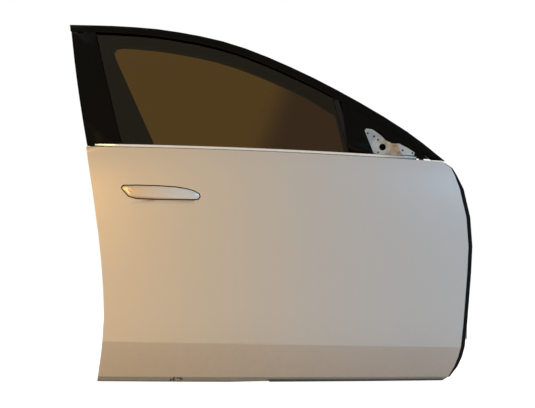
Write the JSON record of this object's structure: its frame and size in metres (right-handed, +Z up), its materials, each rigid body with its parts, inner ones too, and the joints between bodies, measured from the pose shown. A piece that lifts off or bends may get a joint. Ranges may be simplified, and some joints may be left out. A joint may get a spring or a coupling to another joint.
{
  "type": "car front door shell",
  "caption": "Right-hand front car door shell with window frame, raised drop glass, hinges, latch and flush pull handle; the mirror is missing from its mounting plate.",
  "frame": {"origin": "centre of the upper hinge's pillar plate, on the face that bolts to the body", "axes": "+X to the front of the car, +Y into the car (outside to inside), +Z up"},
  "size_m": [1.2702, 0.2657, 1.1331],
  "materials": {
    "trim_plastic": "piano black, lightly worn",
    "dark_steel": "black electrocoat",
    "bright_trim": "anodised, polished",
    "seal_rubber": "EPDM, matt",
    "tinted_glass": "tempered, brown tint",
    "frame_black": "satin black",
    "plastic": "moulded, matt",
    "steel": "zinc-plated, satin",
    "inner_paint": "body colour, thinner and duller inside",
    "outer_paint": "silver-beige metallic under clear lacquer",
    "mirror_plate": "die-cast, satin",
    "cable": "stranded, greased"
  },
  "bodies": {
    "body_side": {"upper_hinge_pillar_leaf": "outer_paint", "lower_hinge_pillar_leaf": "outer_paint", "upper_hinge_pin": "steel", "lower_hinge_pin": "steel"},
    "door": {"b_pillar_applique": "trim_plastic", "beam_bracket_front": "dark_steel", "beam_bracket_rear": "dark_steel", "belt_moulding": "bright_trim", "bottom_seal": "seal_rubber", "door_weatherstrip": "seal_rubber", "frame_channel": "frame_black", "front_edge_seal": "seal_rubber", "front_foot_pulley": "plastic", "front_guide": "frame_black", "front_sail_trim": "trim_plastic", "front_top_pulley": "plastic", "glass_run_seal": "seal_rubber", "handle_base": "plastic", "handle_pin": "steel", "header_moulding": "trim_plastic", "hinge_reinforcement": "dark_steel", "inner_belt_beam": "inner_paint", "inner_belt_seal": "seal_rubber", "inner_panel": "inner_paint", "intrusion_beam": "dark_steel", "latch_cable": "plastic", "latch_case": "plastic", "latch_screw_1": "steel", "latch_screw_2": "steel", "latch_screw_3": "steel", "lower_hinge_bolt_1": "steel", "lower_hinge_bolt_2": "steel", "lower_hinge_door_leaf": "outer_paint", "mirror_mount_plate": "mirror_plate", "outer_belt_beam": "dark_steel", "outer_belt_seal": "seal_rubber", "outer_skin": "outer_paint", "rear_foot_pulley": "plastic", "rear_guide": "dark_steel", "rear_top_pulley": "plastic", "regulator_cable_cross": "cable", "regulator_cable_front": "cable", "regulator_cable_rear": "cable", "regulator_motor": "plastic", "regulator_rail_front": "steel", "regulator_rail_rear": "steel", "upper_hinge_bolt_1": "steel", "upper_hinge_bolt_2": "steel", "upper_hinge_door_leaf": "outer_paint", "window_frame": "frame_black"},
    "glass": {"door_glass": "tinted_glass", "glass_carrier_front": "plastic", "glass_carrier_rear": "plastic"},
    "drum": {"regulator_drum": "plastic"},
    "handle": {"outer_handle": "outer_paint"},
    "fork": {"latch_fork": "dark_steel"},
    "pawl": {"latch_pawl": "dark_steel"}
  },
  "joints": [
    {"name": "door_swing", "type": "hinge", "parent": "body_side", "child": "door", "pos_m": [-0.03, -0.0205, 0], "axis": [0, 0, 1], "range_deg": [0, 58]},
    {"name": "glass_drop", "type": "hinge", "parent": "door", "child": "glass", "pos_m": [-0.61063, 1.5629, 0.00413], "axis": [0.9611, 0.02, 0.2756], "range_deg": [0, 14.6]},
    {"name": "drum_spin", "type": "hinge", "parent": "door", "child": "drum", "pos_m": [-0.69, 0.0052, -0.328], "axis": [0, 1, 0], "range_deg": [0, 1170]},
    {"name": "handle_pull", "type": "hinge", "parent": "door", "child": "handle", "pos_m": [-0.842, -0.0616, 0.0598], "axis": [0, 0, 1], "range_deg": [0, 18], "stiffness_Nm_per_rad": 2, "springref_deg": -8.59},
    {"name": "fork_turn", "type": "hinge", "parent": "door", "child": "fork", "pos_m": [-1.09426, -0.0085, -0.02906], "axis": [-0.9894, 0.0495, -0.1365], "range_deg": [0, 75], "stiffness_Nm_per_rad": 0.05, "springref_deg": -11.46},
    {"name": "pawl_turn", "type": "hinge", "parent": "door", "child": "pawl", "pos_m": [-1.10034, -0.01549, 0.0125], "axis": [-0.9894, 0.0495, -0.1365], "range_deg": [0, 20], "stiffness_Nm_per_rad": 0.05, "springref_deg": -11.46}
  ],
  "couplings": [
    {"joint": "drum_spin", "follows": "glass_drop", "ratio": 80}
  ]
}
